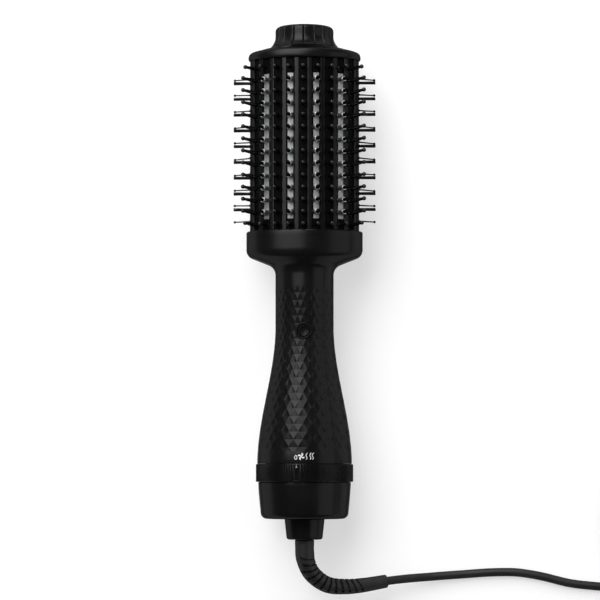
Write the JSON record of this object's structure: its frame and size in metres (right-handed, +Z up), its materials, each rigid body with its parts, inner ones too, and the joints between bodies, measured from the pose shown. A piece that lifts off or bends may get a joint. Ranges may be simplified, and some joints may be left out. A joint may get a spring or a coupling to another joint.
{
  "type": "hot air brush",
  "caption": "Hot air styling brush with an oval bristled barrel, faceted flared handle, ribbed selector ring, push button, grooved cool tip and a coiled mains lead with a plug.",
  "frame": {"origin": "on the surface the brush lies on, under the middle of the brush without its lead", "axes": "+Y along the brush from the lead to the cool tip, +Z up from the surface and out of the button, +X to the right seen from above"},
  "size_m": [0.3711, 0.3964, 0.0682],
  "materials": {
    "satin_black": "satin, finely textured",
    "gloss_black": "glossy",
    "bristle_black": "satin strip with glossy ball-tipped nylon pins",
    "silver_plate": "satin silver",
    "soft_pvc": "soft satin",
    "zinc_steel": "zinc plated",
    "nickel_brass": "nickel plated",
    "circuit_board": "solder resist",
    "mica_sheet": "matt mineral sheet",
    "heater_wire": "bare resistance wire",
    "filter_mesh": "fine woven mesh"
  },
  "bodies": {
    "brush": {"handle_front_shell": "satin_black", "handle_rear_shell": "satin_black", "handle_screw_lower": "zinc_steel", "handle_screw_upper": "zinc_steel", "button_bezel": "satin_black", "microswitch": "satin_black", "control_board": "circuit_board", "button_spring": "zinc_steel", "contact_plate": "circuit_board", "bottom_housing": "satin_black", "inlet_screen": "filter_mesh", "cord_boss": "satin_black", "cord_clamp": "satin_black", "motor_mount": "satin_black", "motor_can": "zinc_steel", "barrel_body": "satin_black", "bristle_strip_front_1": "bristle_black", "heat_strip_front_2": "silver_plate", "bristle_strip_front_3": "bristle_black", "heat_strip_front_4": "silver_plate", "bristle_strip_front_5": "bristle_black", "heat_strip_front_6": "silver_plate", "bristle_strip_front_7": "bristle_black", "heat_strip_front_8": "silver_plate", "bristle_strip_front_9": "bristle_black", "bristle_strip_rear_1": "bristle_black", "heat_strip_rear_2": "silver_plate", "bristle_strip_rear_3": "bristle_black", "heat_strip_rear_4": "silver_plate", "bristle_strip_rear_5": "bristle_black", "heat_strip_rear_6": "silver_plate", "bristle_strip_rear_7": "bristle_black", "heat_strip_rear_8": "silver_plate", "bristle_strip_rear_9": "bristle_black", "side_strip_right": "bristle_black", "side_strip_left": "bristle_black", "flange_cap": "satin_black", "cool_tip": "satin_black", "tip_screw": "zinc_steel", "mica_tube": "mica_sheet", "heater_frame": "mica_sheet", "heater_coil": "heater_wire", "thermal_cutout": "zinc_steel", "strain_relief": "soft_pvc", "cord": "soft_pvc", "cord_coil": "soft_pvc", "cord_tie": "soft_pvc", "plug_body": "soft_pvc", "plug_pin_left": "nickel_brass", "plug_pin_right": "nickel_brass"},
    "selector": {"selector_ring": "satin_black", "wiper_contact": "nickel_brass"},
    "button": {"push_button": "gloss_black", "switch_plunger": "satin_black"},
    "rotor": {"motor_shaft": "zinc_steel", "fan_impeller": "satin_black"}
  },
  "joints": [
    {"name": "selector_turn", "type": "hinge", "parent": "brush", "child": "selector", "pos_m": [0, -0.13262, 0.03368], "axis": [0, 1, 0], "range_deg": [0, 18.5]},
    {"name": "button_press", "type": "slide", "parent": "brush", "child": "button", "axis": [0, 0, -1], "range_m": [0, 0.001], "stiffness_N_per_m": 1500, "springref_m": -0.0007, "deforming": ["button_spring"]},
    {"name": "fan_spin", "type": "hinge", "parent": "brush", "child": "rotor", "pos_m": [0, -0.11615, 0.03368], "axis": [0, 1, 0], "continuous": true}
  ]
}
